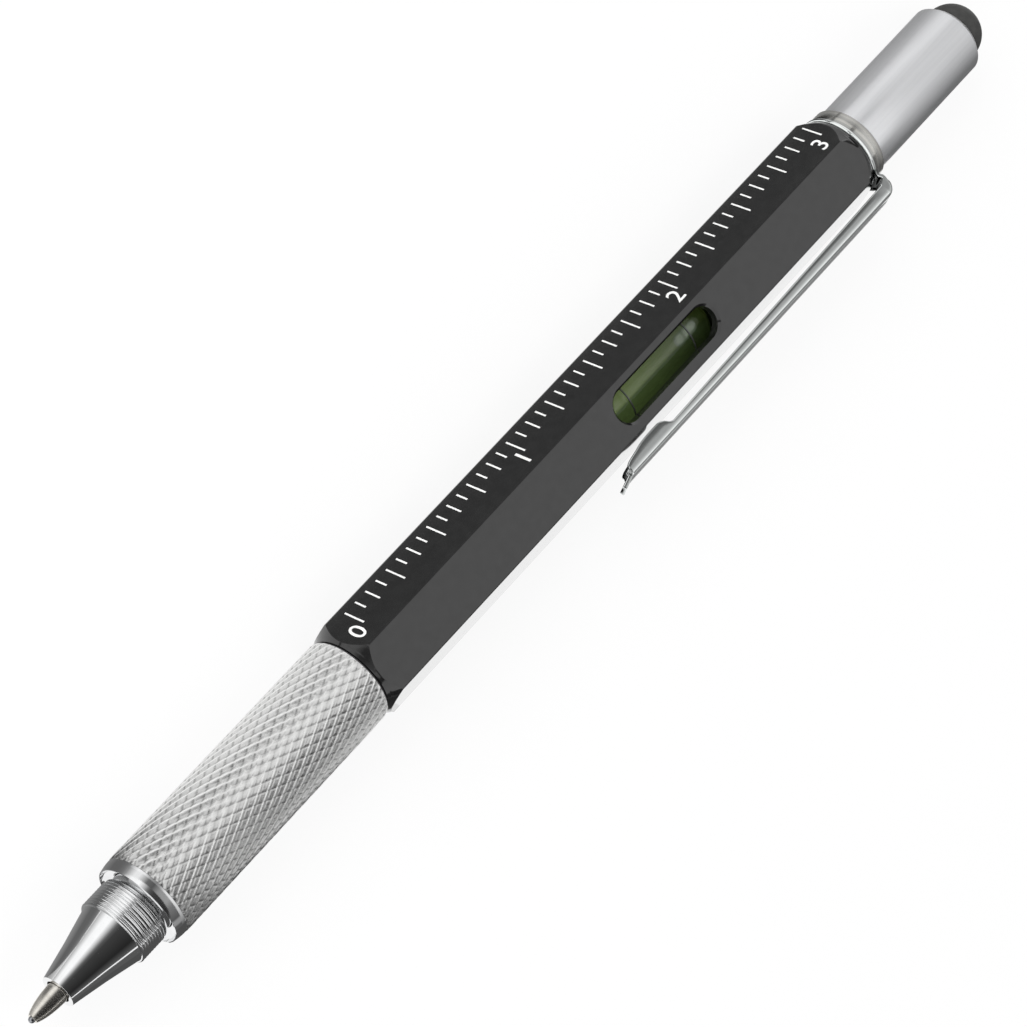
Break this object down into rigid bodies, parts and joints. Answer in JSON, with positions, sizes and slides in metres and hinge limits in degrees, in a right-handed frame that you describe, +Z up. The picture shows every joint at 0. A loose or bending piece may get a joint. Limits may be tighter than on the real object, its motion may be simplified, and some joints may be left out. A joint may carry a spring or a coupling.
{
  "type": "multi tool pen",
  "caption": "Twist ballpoint pen with a hexagonal ruler barrel, spirit level, pocket clip, touch stylus cap and a reversible screwdriver bit under the cap.",
  "frame": {"origin": "on the barrel flat that the pen rests on, halfway along the hexagonal barrel, under the pen's axis", "axes": "+X runs along the pen from the writing point to the stylus, +Z is up through the face with the level window, +Y is the side of the ruler face, and the clip is on the -Y side"},
  "size_m": [0.1532, 0.0127, 0.0099],
  "materials": {
    "barrel_lacquer": "glossy black lacquer on aluminium",
    "chrome_trim": "polished chrome plate on brass",
    "clip_steel": "polished chrome plate on spring steel",
    "grip_aluminium": "knurled, satin chrome",
    "sleeve_aluminium": "satin anodised",
    "inner_brass": "turned, bare",
    "nickel_silver": "turned, polished",
    "refill_tube_metal": "drawn",
    "tool_steel": "ground",
    "black_plastic": "moulded",
    "white_plastic": "moulded",
    "ruler_print": "printed, satin",
    "dome_rubber": "smooth, slightly dull",
    "seal_rubber": "smooth",
    "ink": "dark paste",
    "vial_clear": "clear acrylic",
    "level_liquid": "green liquid",
    "bubble_gas": "clear"
  },
  "bodies": {
    "barrel": {"hex_barrel": "barrel_lacquer", "vial_tube": "vial_clear", "vial_fluid": "level_liquid", "vial_plug_front": "black_plastic", "vial_plug_rear": "black_plastic", "vial_seat_front": "seal_rubber", "vial_seat_rear": "seal_rubber", "vial_mark_front": "black_plastic", "vial_mark_rear": "black_plastic", "clip_ring": "clip_steel", "tail_collar": "chrome_trim", "bit_holder": "inner_brass", "bit_grip_ring": "seal_rubber"},
    "bubble": {"vial_bubble": "bubble_gas"},
    "clip": {"clip_arm": "clip_steel"},
    "cap": {"stylus_sleeve": "sleeve_aluminium", "stylus_insert": "inner_brass", "stylus_dome": "dome_rubber"},
    "bit": {"screwdriver_bit": "tool_steel"},
    "front_section": {"cam_sleeve": "inner_brass", "friction_washer": "black_plastic"},
    "grip": {"grip_sleeve": "grip_aluminium", "grip_liner": "inner_brass", "grip_collar": "chrome_trim", "guide_tube": "white_plastic", "guide_retainer": "tool_steel"},
    "nose": {"nose_cone": "chrome_trim"},
    "carrier": {"refill_carrier": "white_plastic"},
    "refill": {"refill_plug": "black_plastic", "refill_tube": "refill_tube_metal", "ink_column": "ink", "refill_tip": "nickel_silver", "refill_ball": "tool_steel"}
  },
  "joints": [
    {"name": "front_pull", "type": "slide", "parent": "barrel", "child": "front_section", "axis": [-1, 0, 0], "range_m": [0, 0.03]},
    {"name": "grip_twist", "type": "hinge", "parent": "front_section", "child": "grip", "pos_m": [-0.041, 0, 0.00495], "axis": [1, 0, 0], "range_deg": [0, 180]},
    {"name": "refill_advance", "type": "slide", "parent": "grip", "child": "carrier", "axis": [1, 0, 0], "range_m": [0, 0.005]},
    {"name": "refill_out", "type": "slide", "parent": "carrier", "child": "refill", "axis": [1, 0, 0], "range_m": [0, 0.015]},
    {"name": "nose_off", "type": "slide", "parent": "grip", "child": "nose", "axis": [-1, 0, 0], "range_m": [0, 0.025]},
    {"name": "clip_flex", "type": "hinge", "parent": "barrel", "child": "clip", "pos_m": [0.0411, -0.00426, 0.00741], "axis": [0, 0.5, 0.866], "range_deg": [0, 4], "stiffness_Nm_per_rad": 0.5},
    {"name": "bubble_drift", "type": "slide", "parent": "barrel", "child": "bubble", "axis": [-1, 0, 0], "range_m": [0, 0.0102]},
    {"name": "cap_off", "type": "slide", "parent": "barrel", "child": "cap", "axis": [1, 0, 0], "range_m": [0, 0.035]},
    {"name": "bit_out", "type": "slide", "parent": "barrel", "child": "bit", "axis": [1, 0, 0], "range_m": [0, 0.0175]}
  ],
  "couplings": [
    {"joint": "refill_advance", "follows": "grip_twist", "m_per_rad": 0.0015915},
    {"joint": "refill_out", "follows": "front_pull", "ratio": 0.5},
    {"joint": "bit_out", "follows": "cap_off", "ratio": 0.5}
  ]
}
